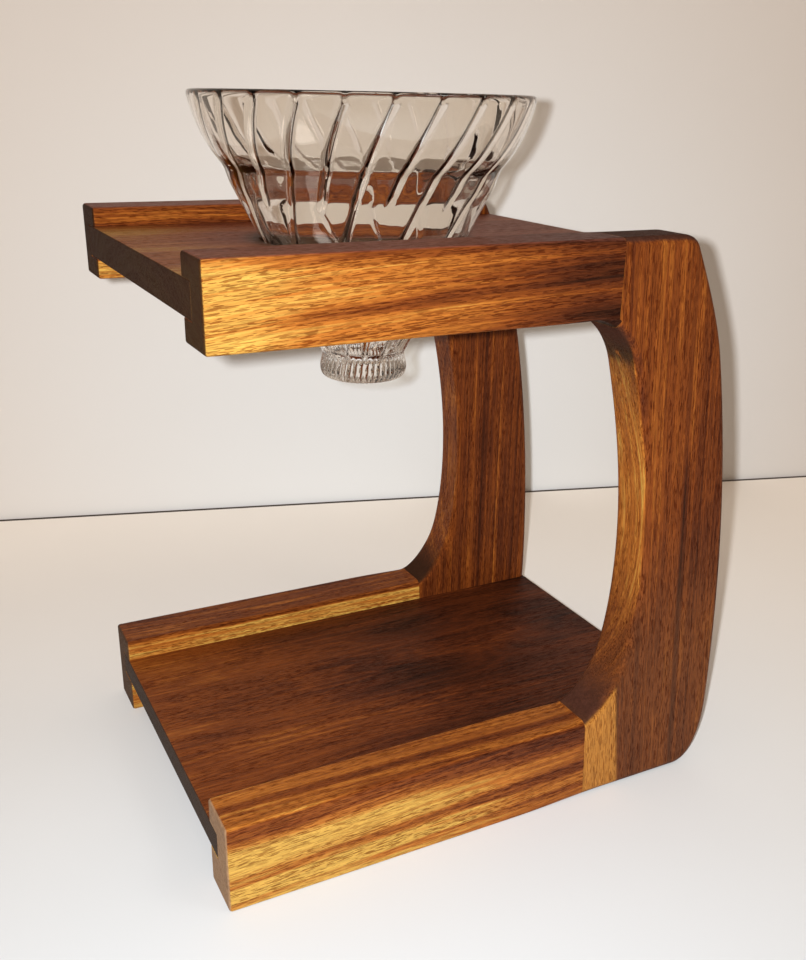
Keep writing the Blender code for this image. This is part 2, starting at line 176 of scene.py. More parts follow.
def frame_outline():
    back, throat = back_edge(), throat_edge()
    rail_top, rail_under, foot, floor = (0.0, TOP), (0.0, UNDER), (BASE_FRONT, 0.0), (BASE_FRONT, FLOOR)
    outline = [
        *corner_arc(rail_under, rail_top, back[0]),
        *back,
        *corner_arc(back[-1], foot, floor),
        *corner_arc(foot, floor, throat[0]),
        *throat,
        *corner_arc(throat[-1], rail_under, rail_top),
    ]
    return with_stations(outline)


def with_stations(outline):
    """Adds points to the level edges, where their rounding grows from a rail's to the curve's."""
    stations = [ROUND_FROM + (ROUND_TO - ROUND_FROM) * step / STATIONS for step in range(STATIONS + 1)]
    points = []
    for start, end in zip(outline, outline[1:] + outline[:1]):
        points.append(start)
        if abs(start[1] - end[1]) < 1e-7:
            low, high = sorted((start[0], end[0]))
            between = [depth for depth in stations if low + 1e-4 < depth < high - 1e-4]
            points += [(depth, start[1]) for depth in sorted(between, reverse=end[0] < start[0])]
    return points


def round_at(depth):
    """The rounding of the edges at a depth."""
    along = climb(depth, ROUND_FROM, ROUND_TO - ROUND_FROM)
    return RAIL_ROUND + (CURVE_ROUND - RAIL_ROUND) * along * along * (3 - 2 * along)


def saw(outline, point, normal):
    """Drops the normal's side of a line. Entries are (point, whether the edge after it is a saw cut)."""
    kept = []
    for (start, sawn), (end, _) in zip(outline, outline[1:] + outline[:1]):
        before, after = (start - point).dot(normal), (end - point).dot(normal)
        if before <= -SLIVER:
            kept.append((start, sawn))
        if before * after < 0:
            kept.append((start.lerp(end, before / (before - after)), before < 0 or sawn))
    return kept


def right_of(direction):
    return Vector((direction.y, -direction.x))


def inward_offsets(outline):
    """How each point moves for a unit of rounding. Beside a saw cut it slides along the cut."""
    offsets = []
    for index, (point, leaves_sawn) in enumerate(outline):
        before, enters_sawn = outline[index - 1]
        entering = (point - before).normalized()
        leaving = (outline[(index + 1) % len(outline)][0] - point).normalized()
        if leaves_sawn:
            offsets.append(leaving / leaving.dot(right_of(entering)))
        elif enters_sawn:
            offsets.append(entering / entering.dot(right_of(leaving)))
        else:
            mitre = (right_of(entering) + right_of(leaving)).normalized()
            offsets.append(mitre / mitre.dot(right_of(leaving)))
    return offsets


def slab(outline, side):
    """A side frame's piece: its outline drawn across the thickness, with rounded edges."""
    offsets, half = inward_offsets(outline), THICKNESS / 2
    turns = quarter_turn()
    levels = [(-1, turn) for turn in reversed(turns)] + [(1, turn) for turn in turns]
    bm = bmesh.new()
    rings = []
    for face, turn in levels:
        ring = []
        for (point, _), offset in zip(outline, offsets):
            radius = round_at(point.x)
            place = point + offset * radius * (1 - math.cos(turn))
            across = side * MIDDLE_X + face * (half - radius * (1 - math.sin(turn)))
            ring.append(bm.verts.new((across, place.x + DEPTH_TO_Y, place.y)))
        rings.append(ring)
    for ring, following in zip(rings, rings[1:]):
        join(bm, ring, following)
    bm.faces.new(rings[0])
    bm.faces.new(rings[-1])
    bm.normal_update()
    bmesh.ops.triangulate(bm, faces=bm.faces)
    return bm


def join(bm, ring, following):
    for index in range(len(ring)):
        after = (index + 1) % len(ring)
        bm.faces.new((ring[index], ring[after], following[after], following[index]))


def saw_line(joint, lean, kept):
    """A saw cut through a joint. Kept is 1 for the upright's side of it and -1 for the rail's."""
    normal = Vector((math.cos(lean), math.sin(lean))) * -kept
    return Vector(joint) - normal * SEAM, normal


HALFWAY = Vector((0.0, TOP / 2))
SAWS = {
    "top_rail": [(HALFWAY, Vector((0.0, -1.0))), saw_line(TOP_JOINT, 0.0, -1)],
    "base_rail": [(HALFWAY, Vector((0.0, 1.0))), saw_line(BASE_JOINT, BASE_LEAN, -1)],
    "upright": [saw_line(TOP_JOINT, 0.0, 1), saw_line(BASE_JOINT, BASE_LEAN, 1)],
}


# ---------------------------------------------------------------- pieces


def box(lowest, highest):
    bm = bmesh.new()
    size, middle = Vector(highest) - Vector(lowest), (Vector(highest) + Vector(lowest)) / 2
    bmesh.ops.create_cube(bm, size=1.0, matrix=Matrix.Translation(middle) @ Matrix.Diagonal((*size, 1.0)))
    return bm


def make_object(name, bm, material=None, sharp_angle=SHARP_ANGLE):
    bmesh.ops.recalc_face_normals(bm, faces=bm.faces)
    mesh = bpy.data.meshes.new(name)
    bm.to_mesh(mesh)
    bm.free()
    mesh.shade_smooth()
    mesh.set_sharp_from_angle(angle=math.radians(sharp_angle))
    if material:
        mesh.materials.append(material)
    obj = bpy.data.objects.new(name, mesh)
    bpy.context.scene.collection.objects.link(obj)
    return obj


def cut(obj, cutters):
    """Takes the cutters' shapes out of a piece for good."""
    made = [make_object("cutter", bm) for bm in cutters]
    for cutter in made:
        modifier = obj.modifiers.new("cut", "BOOLEAN")
        modifier.operation = "DIFFERENCE"
        modifier.solver = "MANIFOLD"
        modifier.object = cutter
    finished = obj.evaluated_get(bpy.context.evaluated_depsgraph_get())
    mesh = bpy.data.meshes.new_from_object(finished)
    mesh.set_sharp_from_angle(angle=math.radians(SHARP_ANGLE))
    obj.modifiers.clear()
    obj.data = mesh
    for cutter in made:
        bpy.data.objects.remove(cutter)


def settle_normals(obj):
    """Keeps the flat faces flat to the eye, right up to their rounded edges."""
    modifier = obj.modifiers.new("flat_faces", "WEIGHTED_NORMAL")
    modifier.keep_sharp = True
    modifier.weight = 100


def put_in_place(obj, node, body):
    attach(obj, body)
    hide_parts(node)


def finish_wood(obj, node):
    settle_normals(obj)
    put_in_place(obj, node, "stand")


def dado_shapes(side):
    near, deep = sorted((side * (INNER_X - OVERCUT), side * (BOARD_REACH + DADO_SEAM)))
    front, back = DEPTH_TO_Y + BASE_FRONT - OVERCUT, DEPTH_TO_Y + REAR + OVERCUT
    for under, top in ((SHELF_UNDER, SHELF_TOP), (BOARD_UNDER, BOARD_TOP)):
        yield box((near, front, under - DADO_SEAM), (deep, back, top + DADO_SEAM))


def build_side_frames(materials):
    outline = [(Vector(point), False) for point in frame_outline()]
    for side_name, side in SIDES.items():
        for piece, lines in SAWS.items():
            sawn = outline
            for line in lines:
                sawn = saw(sawn, *line)
            node = f"{side_name}_{piece}"
            obj = make_object(f"{node}_wood", slab(sawn, side), materials[node])
            cut(obj, dado_shapes(side))
            finish_wood(obj, node)


def back_depth(height):
    """How deep the side frames are at a height."""
    back = back_edge(FINE_STEPS)
    for (depth, upper), (next_depth, lower) in zip(back, back[1:]):
        if lower <= height <= upper:
            return depth + (next_depth - depth) * (upper - height) / (upper - lower)
    return REAR


def board(front, under, top):
    """A board between the frames, its rear edge sloped to their curve."""
    corners = [(front, top), (back_depth(top), top), (back_depth(under), under), (front, under)]
    bm = bmesh.new()
    rows = []
    for across in (-BOARD_REACH, BOARD_REACH):
        rows.append([bm.verts.new((across, depth + DEPTH_TO_Y, height)) for depth, height in corners])
    join(bm, *rows)
    long_edges = [e for e in bm.edges if abs(e.verts[0].co.x - e.verts[1].co.x) > BOARD_REACH]
    for row in rows:
        bm.faces.new(row)
    bmesh.ops.recalc_face_normals(bm, faces=bm.faces)
    bmesh.ops.bevel(bm, geom=long_edges, offset=BOARD_ROUND, segments=4, profile=0.5, affect="EDGES")
    return bm


def turned(profile, segments, centre):
    """A solid of revolution. The profile is (radius, height) from its lowest ring up."""
    bm = bmesh.new()
    angles = [math.tau * index / segments for index in range(segments)]
    rings = []
    for radius, height in profile:
        ring = []
        for angle in angles:
            place = (centre.x + radius * math.cos(angle), centre.y + radius * math.sin(angle), height)
            ring.append(bm.verts.new(place))
        rings.append(ring)
    for ring, following in zip(rings, rings[1:]):
        join(bm, ring, following)
    bm.faces.new(rings[0])
    bm.faces.new(rings[-1])
    return bm


def seat_shape():
    """The shelf's bore, eased at its edges and sloped at its top for the glass to rest in."""
    seat = SEAT_RADIUS + SEAT_GAP / math.cos(CONE_ANGLE)
    bore = seat - CONE_SLOPE * SEAT_DEPTH
    profile = [
        (bore + BORE_EASE, SHELF_UNDER - 0.002),  # clear of the wood
        (bore + 0.0005, SHELF_UNDER - 0.00001),  # the lower edge, eased
        (bore, SHELF_UNDER + BORE_EASE),
        (bore, SHELF_TOP - SEAT_DEPTH),  # the seat's slope
        (seat, SHELF_TOP - 0.0002),
        (seat + 0.0007, SHELF_TOP + 0.0004),  # the upper edge, eased, and clear of the wood
    ]
    return turned(profile, 192, CONE_CENTRE)


def build_boards(materials):
    top = make_object("top_shelf_wood", board(0.0, SHELF_UNDER, SHELF_TOP), materials["top_shelf"])
    cut(top, [seat_shape()])
    finish_wood(top, "top_shelf")
    base_shape = board(BASE_FRONT, BOARD_UNDER, BOARD_TOP)
    base = make_object("base_board_wood", base_shape, materials["base_board"])
    finish_wood(base, "base_board")


# ---------------------------------------------------------------- shader building


class Graph:
    """One material's nodes. Most methods take sockets or plain values and return a socket."""

    def __init__(self, name):
        self.material = bpy.data.materials.new(name)
        self.material.use_nodes = True
        self.tree = self.material.node_tree
        self.shader = self.tree.nodes["Principled BSDF"]

    def node(self, kind, inputs, **settings):
        made = self.tree.nodes.new(f"ShaderNode{kind}")
        for name, value in settings.items():
            setattr(made, name, value)
        for key, value in inputs.items():
            self.put(made.inputs[key], value)
        return made

    def put(self, socket, value):
        if isinstance(value, bpy.types.NodeSocket):
            self.tree.links.new(value, socket)
        else:
            socket.default_value = value

    def math(self, operation, a, b=0.0):
        return self.node("Math", {0: a, 1: b}, operation=operation).outputs[0]

    def add(self, a, b):
        return self.math("ADD", a, b)

    def scale(self, a, b):
        return self.math("MULTIPLY", a, b)

    def smooth(self, value, low, high):
        """0 at low, 1 at high, easing between."""
        inputs = {"Value": value, "From Min": low, "From Max": high}
        return self.node("MapRange", inputs, interpolation_type="SMOOTHSTEP").outputs["Result"]

    def vector(self, x, y, z):
        return self.node("CombineXYZ", {0: x, 1: y, 2: z}).outputs[0]

    def split(self, vector):
        return self.node("SeparateXYZ", {0: vector}).outputs

    def place_in_mm(self):
        place = self.node("TexCoord", {}).outputs["Object"]
        return [self.scale(part, 1000.0) for part in self.split(place)]

    def noise(self, vector, detail=2.0, roughness=0.5):
        inputs = {"Vector": vector, "Scale": 1.0, "Detail": detail, "Roughness": roughness}
        return self.node("TexNoise", inputs).outputs[0]

    def noise_line(self, value, detail=2.0, roughness=0.5):
        inputs = {"W": value, "Scale": 1.0, "Detail": detail, "Roughness": roughness}
        return self.node("TexNoise", inputs, noise_dimensions="1D").outputs[0]

    def mix(self, factor, a, b, blend="MIX"):
        made = self.node("Mix", {0: factor}, data_type="RGBA", blend_type=blend)
        self.put(made.inputs[6], a)
        self.put(made.inputs[7], b)
        return made.outputs[2]

    def ramp(self, value, stops):
        made = self.node("ValToRGB", {0: value})
        elements = made.color_ramp.elements
        while len(elements) < len(stops):
            elements.new(0.5)
        for element, (position, colour) in zip(elements, stops):
            element.position, element.color = position, (*colour, 1.0)
        return made.outputs[0]

    def finish(self, colour, roughness, height, depth):
        """The finished material, with a bump of the given depth in metres."""
        self.put(self.shader.inputs["Base Color"], colour)
        self.put(self.shader.inputs["Roughness"], roughness)
        bump = self.node("Bump", {"Height": height, "Distance": depth, "Strength": 1.0})
        self.put(self.shader.inputs["Normal"], bump.outputs[0])
        return self.material


# ---------------------------------------------------------------- walnut

TONES = [  # (tone, linear colour)
    (0.00, (0.026, 0.007, 0.003)),
    (0.25, (0.080, 0.018, 0.005)),
    (0.50, (0.165, 0.040, 0.007)),
    (0.75, (0.345, 0.112, 0.017)),
    (1.00, (0.500, 0.285, 0.058)),
]
PORE = (0.40, 0.25, 0.18)
END_GRAIN = (0.033, 0.014, 0.007)
# The next three colours are painted shade: a purple-brown for tops that the light only grazes, a deeper one,
# and a near black for the throat's fillets, where it lies over dark end grain, and for the shelf's bore.
PAINTED_SHADE_PURPLE = (0.185, 0.052, 0.028)
DEEPER_PAINTED_SHADE = (0.070, 0.020, 0.012)
SHADE_AND_END_GRAIN_DARK = (0.022, 0.012, 0.005)
OLIVE = (0.110, 0.040, 0.014)
SAPWOOD = (0.40, 0.165, 0.030)


class Walnut(Graph):
    """Walnut whose rings, streaks and pores run through the piece, along Y or along Z.

    Its tone runs from 0, nearly black, through brown at 0.5 to gold at 1, and level is where it starts.
    The rings lie around the pith, ring mm apart, and drift scales how far they wander from it. Lean and
    bend turn the grain away from its axis.
    """

    def __init__(
        self,
        name,
        grain,
        seed,
        level,
        contrast=1.0,
        pith=(-34.0, -52.0),
        ring=5.0,
        lean=0.0,
        bend=0.0,
        drift=1.0,
    ):
        super().__init__(name)
        self.x, self.y, self.z = self.place_in_mm()
        self.axis = (0.0, 1.0, 0.0) if grain == "Y" else (0.0, 0.0, 1.0)
        self.along, across = (self.y, self.z) if grain == "Y" else (self.z, self.y)
        self.across = self.add(across, self.scale(self.along, self.add(self.scale(self.along, bend), lean)))
        self.seed = seed
        warp = self.add(self.field(170.0, 32.0), -0.5)
        ripple = self.add(self.field(45.0, 9.0), -0.5)
        self.wander = self.scale(self.add(self.scale(warp, 14.0), self.scale(ripple, 1.8)), drift)
        self.radius = self.add(self.distance_from(pith, self.x, self.across), self.wander)
        self.tone = level
        rings = self.noise_line(self.add(self.scale(self.radius, 1 / ring), seed), 3.0, 0.6)
        threads = self.noise_line(self.scale(self.radius, 1.3), 2.0)
        patches = self.field(30.0, 10.0)
        lines = self.field(110.0, 1.3)
        for part, weight in ((rings, 0.9), (threads, 0.6), (patches, 0.5), (lines, 0.8)):
            self.shift(weight * contrast, self.add(part, -0.5))

    def distance_from(self, centre, *place):
        away = [self.math("POWER", self.add(part, -at), 2.0) for part, at in zip(place, centre)]
        return self.math("SQRT", self.add(*away))

    def field(self, length, width, detail=2.0, roughness=0.5):
        """Noise drawn out along the grain. Length and width are its rough sizes in mm."""
        along = self.add(self.scale(self.along, 1 / length), self.seed)
        place = self.vector(along, self.scale(self.x, 1 / width), self.scale(self.across, 1 / width))
        return self.noise(place, detail, roughness)

    def shift(self, amount, mask):
        """Makes the wood lighter, or darker by a negative amount, where the mask is 1."""
        self.tone = self.add(self.tone, self.scale(mask, amount))

    def both(self, *masks):
        product = masks[0]
        for mask in masks[1:]:
            product = self.scale(product, mask)
        return product

    def streak(self, at, half, soft, slope=0.0, across=None):
        """1 along a line with the grain. At is its place across the grain, in mm, where along is 0."""
        line = self.add(self.scale(self.along, slope), at)
        off = self.add(self.math("SUBTRACT", across or self.across, line), self.scale(self.wander, 0.15))
        return self.smooth(self.math("ABSOLUTE", off), half + soft, half)

    def towards(self, direction):
        """The cosine between the surface's own direction and another."""
        normal = self.node("NewGeometry", {}).outputs["Normal"]
        return self.node("VectorMath", {0: normal, 1: direction}, operation="DOT_PRODUCT").outputs["Value"]

    def facing(self, direction, low, high):
        """1 where the surface faces a direction, fading out between two cosines."""
        return self.smooth(self.towards(direction), low, high)

    def fillet_shade_and_end_grain(self, above):
        """Dark end grain with painted shade in one of the throat's fillets, in patches. Above is 1 for the
        upper and -1 for the lower.
        """
        hollow = self.facing((0.0, -0.75, -0.66 * above), 0.92 - 0.07 * above, 0.98 - 0.03 * above)
        patches = self.smooth(self.field(9.0, 5.0), 0.32, 0.46)
        return self.scale(self.both(hollow, patches), 0.90), SHADE_AND_END_GRAIN_DARK

    def pores(self):
        """Short dark lines, in bands that follow the rings."""
        bands = self.smooth(self.noise_line(self.scale(self.radius, 0.42), 1.0), 0.36, 0.60)
        lines = self.smooth(self.field(3.8, 0.30, 1.0), 0.52, 0.60)
        return self.scale(lines, self.add(0.50, self.scale(bands, 0.50)))

    def shaded(self, colour, shade):
        return self.mix(1.0, colour, self.vector(shade, shade, shade), "MULTIPLY")

    def painted(self, tints=(), least_roughness=0.40, end_shade=END_GRAIN):
        """The finished material. Tints are (mask, colour) pairs laid over the tone's own colour."""
        colour = self.ramp(self.tone, TONES)
        for mask, tint in tints:
            colour = self.mix(mask, colour, (*tint, 1.0))
        fibre = self.field(12.0, 0.70, 4.0, 0.75)
        pores = self.pores()
        colour = self.mix(self.scale(pores, 0.85), colour, (*PORE, 1.0), "MULTIPLY")
        colour = self.shaded(colour, self.add(0.38, self.scale(fibre, 1.34)))
        end = self.smooth(self.math("ABSOLUTE", self.towards(self.axis)), 0.35, 0.75)
        speckle = self.add(0.30, self.scale(self.field(1.5, 1.5, 4.0, 0.8), 1.4))
        colour = self.mix(self.scale(end, 0.96), colour, self.shaded((*end_shade, 1.0), speckle))
        self.put(self.shader.inputs["Specular IOR Level"], self.add(0.13, self.scale(end, -0.11)))
        roughness = self.add(least_roughness, self.add(self.scale(pores, 0.25), self.scale(fibre, 0.16)))
        height = self.math("SUBTRACT", self.scale(fibre, 0.35), pores)
        return self.finish(colour, roughness, height, 0.0001)


# The near pieces are the right side frame's, which the camera sees from close by. Places are in mm.


def near_top_rail():
    w = Walnut("near_top_rail_walnut", "Y", seed=3.1, level=0.70, contrast=0.55, lean=-0.036, bend=0.00027)
    rear = w.smooth(w.y, -30.0, 40.0)
    w.shift(0.22, w.smooth(w.y, -40.0, -92.0))
    w.shift(-0.34, rear)
    w.shift(-0.34, w.both(rear, w.smooth(w.z, 198.0, 190.0)))
    w.shift(-0.28, w.both(w.streak(202.5, 1.5, 4.5), w.smooth(w.y, -50.0, 30.0)))
    thread = w.streak(200.0, 0.8, 2.5)
    w.shift(-0.22, w.both(thread, w.smooth(w.y, 10.0, -30.0), w.smooth(w.y, -88.0, -60.0)))
    w.shift(-0.22, w.smooth(w.z, 209.0, 213.0))
    # The top is painted purple-brown as shade from the glancing light, deeper towards the rear, and the
    # upper fillet gets painted shade over its dark end grain.
    top = w.facing(UP, 0.5, 0.9)
    return w.painted([(w.scale(top, 0.9), PAINTED_SHADE_PURPLE), (w.scale(w.both(top, rear), 0.6), DEEPER_PAINTED_SHADE), w.fillet_shade_and_end_grain(1.0)])


def far_top_rail():
    w = Walnut("far_top_rail_walnut", "Y", seed=8.7, level=0.50, contrast=0.8)
    w.shift(0.30, w.smooth(w.z, 196.0, 193.0))
    # The top is painted purple-brown as shade from the glancing light.
    top = w.facing(UP, 0.5, 0.9)
    return w.painted([(w.scale(top, 0.8), PAINTED_SHADE_PURPLE)])


def near_base_rail():
    w = Walnut("near_base_rail_walnut", "Y", seed=5.3, level=1.03, contrast=0.50, lean=-0.03)
    rear = w.smooth(w.y, -60.0, 40.0)
    w.shift(-0.39, rear)
    w.shift(-0.42, w.smooth(w.z, 22.0, 28.5))
    w.shift(-0.26, w.streak(14.0, 0.8, 2.6))
    w.shift(-0.22, w.streak(5.0, 0.4, 1.4))
    w.shift(-0.28, w.streak(70.0, 0.8, 2.0, slope=0.02, across=w.x))
    top = w.facing(UP, 0.5, 0.9)
    w.shift(0.12, w.both(top, w.smooth(w.y, -40.0, -80.0)))
    w.shift(0.43, w.both(top, rear))
    return w.painted(least_roughness=0.38, end_shade=(0.330, 0.200, 0.115))


def far_base_rail():
    w = Walnut("far_base_rail_walnut", "Y", seed=1.9, level=0.84, contrast=0.8)
    w.shift(-0.40, w.smooth(w.z, 30.5, 32.5))
    return w.painted(end_shade=(0.080, 0.045, 0.028))


def near_upright():
    w = Walnut(
        "near_upright_walnut",
        "Z",
        seed=6.4,
        level=0.46,
        contrast=0.60,
        pith=(-30.0, 190.0),
        lean=0.07,
        drift=0.3,
    )
    low = w.smooth(w.z, 120.0, 50.0)
    w.shift(-0.30, w.both(w.streak(85.0, 0.6, 1.4), w.smooth(w.z, 150.0, 120.0)))
    w.shift(-0.12, w.both(low, w.smooth(w.y, 76.0, 66.0)))
    w.shift(-0.08, w.facing(FORWARD, 0.10, 0.35))
    w.shift(0.12, w.both(w.facing(FORWARD, 0.30, 0.80), w.smooth(w.z, 110.0, 60.0)))
    rear = w.smooth(w.y, 72.0, 88.0)
    w.shift(-0.16, w.both(rear, w.smooth(w.z, 60.0, 90.0), w.smooth(w.z, 190.0, 150.0)))
    w.shift(0.32, w.both(w.facing(FORWARD, 0.80, 0.96), w.smooth(w.z, 40.0, 110.0)))
    sap = w.smooth(w.add(w.y, w.scale(w.z, 0.11)), 59.0, 57.0)
    sap = w.both(sap, w.smooth(w.z, 49.0, 46.0), w.facing(FORWARD, 0.6, 0.3))
    # Both fillets get painted shade over their dark end grain.
    tints = [(w.scale(low, 0.45), OLIVE), (w.scale(sap, 0.9), SAPWOOD), w.fillet_shade_and_end_grain(1.0), w.fillet_shade_and_end_grain(-1.0)]
    return w.painted(tints, least_roughness=0.42, end_shade=(0.058, 0.022, 0.014))


def far_upright():
    w = Walnut("far_upright_walnut", "Z", seed=2.2, level=0.34, contrast=0.7, pith=(-30.0, 190.0), drift=0.4)
    w.shift(0.14, w.both(w.streak(56.0, 3.0, 7.0, slope=0.03), w.smooth(w.z, 150.0, 185.0)))
    w.shift(0.12, w.facing(FORWARD, 0.5, 0.9))
    return w.painted(least_roughness=0.42)


def shelf():
    w = Walnut("shelf_walnut", "Y", seed=4.5, level=0.52, contrast=0.7, pith=(10.0, 120.0), ring=9.0)
    front = w.smooth(w.y, -50.0, -90.0)
    w.shift(0.30, front)
    bore_centre = (1000.0 * CONE_CENTRE.x, 1000.0 * CONE_CENTRE.y)
    # The wood around and inside the bore is painted dark: painted shade where the glass's shadow and the dim
    # bore fall.
    bore = w.smooth(w.distance_from(bore_centre, w.x, w.y), 45.0, 36.0)
    # The whole shelf is also painted purple-brown as shade from the glancing light, less of it towards the
    # front.
    return w.painted([(w.add(0.65, w.scale(front, -0.25)), PAINTED_SHADE_PURPLE), (w.scale(bore, 0.9), SHADE_AND_END_GRAIN_DARK)])


def base_board():
    w = Walnut(
        "base_board_walnut",
        "Y",
        seed=7.7,
        level=0.46,
        contrast=0.55,
        pith=(-20.0, -90.0),
        ring=9.0,
        drift=1.6,
    )
    w.shift(0.55, w.add(w.field(90.0, 26.0), -0.5))
    w.shift(-0.32, w.smooth(w.y, -70.0, 30.0))
    return w.painted(least_roughness=0.38, end_shade=(0.050, 0.032, 0.022))


def make_walnut():
    """Each piece's own board of walnut."""
    return {
        "right_top_rail": near_top_rail(),
        "left_top_rail": far_top_rail(),
        "right_base_rail": near_base_rail(),
        "left_base_rail": far_base_rail(),
        "right_upright": near_upright(),
        "left_upright": far_upright(),
        "top_shelf": shelf(),
        "base_board": base_board(),
    }


def dress_dowels():
    """The dowels are hidden in the joints. They are pale straight-grained hardwood."""
    g = Graph("dowel_beech")
    x, y, z = g.place_in_mm()
    fibre = g.noise(g.vector(g.scale(x, 2.4), g.scale(y, 0.12), g.scale(z, 2.4)), 3.0)
    colour = g.ramp(fibre, [(0.3, (0.42, 0.25, 0.12)), (0.7, (0.66, 0.46, 0.27))])
    material = g.finish(colour, g.add(0.5, g.scale(fibre, 0.2)), fibre, 0.00005)
    for name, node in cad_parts.items():
        if "dowel" in name:
            node.data.materials.clear()
            node.data.materials.append(material)


# ---------------------------------------------------------------- glass cone

RIB_COUNT = 24
COLUMNS_PER_RIB = 16
COLUMNS = RIB_COUNT * COLUMNS_PER_RIB
RIB_START = math.radians(-35.0)
TWIST = math.radians(440.0)  # for each metre of height
RIB_HALF_WIDTH, RIB_HEIGHT = 0.0013, 0.0012
RIB_FADE = 0.0025
RIM_CLEAR, RIM_FADE = 0.0012, 0.0015  # the band below the rim that the ribs stop at
NECK = 0.1662
LONG_RIB_END, SHORT_RIB_END = NECK - 0.002, 0.2210
COLLAR = (0.0160, 0.1605)  # radius and height of its widest ring
CONE_END = 0.2240  # where the straight side gives way to the shoulder
SHOULDER = (0.0480, 0.2312)
RIM_ROUND, RIM_STEPS = 0.0014, 6
CREASE, CREASE_PASSES = 0.004, 6  # how far from the shoulder its crease is eased, and how often
RIM_WALL = 0.0029
THICKEST = (0.2225, 0.0047)
WALL = [  # (height, thickness)
    (0.0, 0.0034),
    (0.2100, 0.0030),
    THICKEST,
    (0.2332, 0.0032),
    (0.2360, RIM_WALL),
    (1.0, RIM_WALL),
]
WALL_BLUR = 0.0008  # softens the thickness between two heights
LEDGE_DIP = 0.0020
FLUTE_DEPTH, FLUTE_ROWS = 0.0008, 3
OUTLET_BORE, OUTLET_STEPS = 0.0090, 6
NECK_STEP, OUTLET_EASE = 0.0010, 0.0006


def cone_radius(height):
    return SEAT_RADIUS + (height - SHELF_TOP) * CONE_SLOPE


def outer_profile():
    """(radius, height) from the outlet's edge up the outside to the rim."""
    lip = (RIM_RADIUS, RIM_TOP - RIM_ROUND)
    neck = (cone_radius(NECK), NECK)
    cone_end = (cone_radius(CONE_END), CONE_END)
    curves = [
        (8, ((0.0132, OUTLET_BOTTOM), (0.0150, OUTLET_BOTTOM), (COLLAR[0], 0.1583), COLLAR)),
        (8, (COLLAR, (COLLAR[0], 0.1626), (0.0150, 0.1640), neck)),
        (40, (neck, (cone_radius(0.1800), 0.1800), (cone_radius(0.2000), 0.2000), cone_end)),
        (8, (cone_end, (cone_radius(0.2272), 0.2272), (0.0474, 0.2296), SHOULDER)),
        (24, (SHOULDER, (0.0525, 0.2350), (0.0572, 0.2440), lip)),
    ]
    points = []
    for steps, curve in curves:
        points += bezier_chain([curve], steps)[:-1]
    points.append(lip)
    for _ in range(CREASE_PASSES):
        points[1:-1] = [soften(*near) for near in zip(points, points[1:], points[2:])]
    return points


def soften(before, point, after):
    """Eases the crease at the shoulder."""
    if abs(point[1] - SHOULDER[1]) > CREASE:
        return point
    return tuple((a + 2 * b + c) / 4 for a, b, c in zip(before, point, after))


def wall_at(index, height):
    """The wall is thickest below the shoulder, then thins at a ledge that dips where it meets a rib."""
    _, away = nearest_rib(index)
    if height > THICKEST[0]:
        height += LEDGE_DIP * (1 - away * 2 / COLUMNS_PER_RIB) ** 4
    total = 0.0
    for shift in (-WALL_BLUR, 0.0, WALL_BLUR):
        for (low, thin), (high, thick) in zip(WALL, WALL[1:]):
            if low <= height + shift < high:
                total += thin + (thick - thin) * (height + shift - low) / (high - low)
    return total / 3


def nearest_rib(index):
    """The rib next to a column of points, and how many columns away its crest is."""
    rib, column = divmod(index + COLUMNS_PER_RIB // 2, COLUMNS_PER_RIB)
    return rib, abs(column - COLUMNS_PER_RIB / 2)


def rib_at(index, radius, height):
    """How far the rib stands proud of the wall at a column. Every other rib stops part way down."""
    rib, away = nearest_rib(index)
    aside = away / COLUMNS_PER_RIB * math.tau * radius / RIB_COUNT
    end = SHORT_RIB_END if rib % 2 else LONG_RIB_END
    fade = climb(height, end, RIB_FADE) * climb(RIM_TOP - RIM_CLEAR, height, RIM_FADE)
    shape = math.cos(min(aside / RIB_HALF_WIDTH, 1.0) * math.pi / 2) ** 1.5
    return RIB_HEIGHT * shape * fade


def glass_ring(bm, reaches, height):
    """A ring of points that reach out from the axis, turned with the ribs' twist."""
    turn = RIB_START + (height - SHELF_TOP) * TWIST
    ring = []
    for index, reach in enumerate(reaches):
        angle = math.tau * index / len(reaches) + turn
        ring.append(bm.verts.new((reach * math.cos(angle), reach * math.sin(angle), height)))
    return ring


def fluted(radius, height, index):
    """The collar's outside is pressed into rows of small flutes."""
    if height > NECK:
        return radius
    phase = math.tau * index / COLUMNS_PER_RIB
    row = math.sin(climb(height, OUTLET_BOTTOM, NECK - OUTLET_BOTTOM) * math.pi * FLUTE_ROWS)
    return radius - FLUTE_DEPTH * abs(row) ** 0.5 * (1 - abs(math.cos(phase)))


def outside_rings(bm, profile):
    rings = []
    for radius, height in profile:
        reaches = [fluted(radius, height, index) for index in range(COLUMNS)]
        rings.append(glass_ring(bm, reaches, height))
    return rings


def rim_rings(bm):
    """The rounded rim, from its outside over to its inside."""
    rings = []
    for step in range(1, RIM_STEPS):
        turn = math.pi * step / RIM_STEPS
        reach = RIM_RADIUS - RIM_WALL / 2 + RIM_WALL / 2 * math.cos(turn)
        rings.append(glass_ring(bm, [reach] * COLUMNS, RIM_TOP - RIM_ROUND * (1 - math.sin(turn))))
    return rings


def inside_rings(bm, profile):
    """The ribbed inside, from the rim down to the neck."""
    rings = []
    for radius, height in reversed(profile):
        if height < NECK:
            continue
        reaches = []
        for index in range(COLUMNS):
            bare = radius - wall_at(index, height)
            reaches.append(bare - rib_at(index, bare, height))
        rings.append(glass_ring(bm, reaches, height))
    return rings


